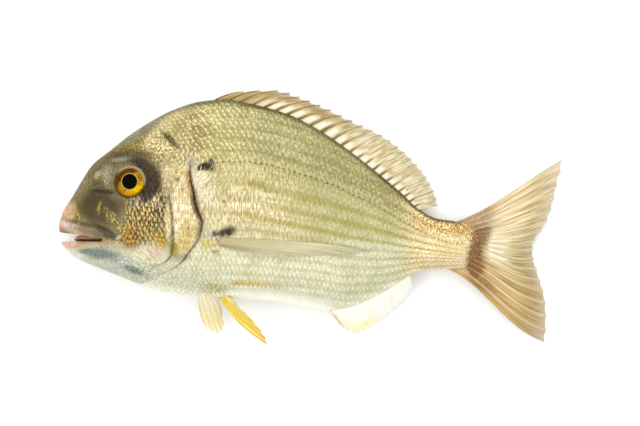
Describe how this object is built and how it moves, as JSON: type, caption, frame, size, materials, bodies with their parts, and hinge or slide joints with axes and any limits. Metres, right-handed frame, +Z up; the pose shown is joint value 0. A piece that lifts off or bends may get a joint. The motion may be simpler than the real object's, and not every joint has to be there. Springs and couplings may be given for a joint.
{
  "type": "whole raw fish",
  "caption": "Whole raw gilt-head sea bream lying on its side, with spiny dorsal fin, forked tail fin, paired fins, gill covers, open mouth and round eyes.",
  "frame": {"origin": "on the surface the fish lies on, below the middle of its bounding box", "axes": "+X from the snout to the tail, +Y from the belly to the back, +Z up out of the fish's left side"},
  "size_m": [0.3, 0.1506, 0.0398],
  "materials": {
    "skin": "wet, silvery olive and gold scales",
    "fins": "thin, half see-through membrane between bony rays",
    "mouth": "wet, soft lining",
    "eye": "wet and glossy, black pupil in a golden iris"
  },
  "bodies": {
    "root": {"fish": "skin", "eye_left": "eye", "eye_right": "eye"}
  },
  "joints": []
}
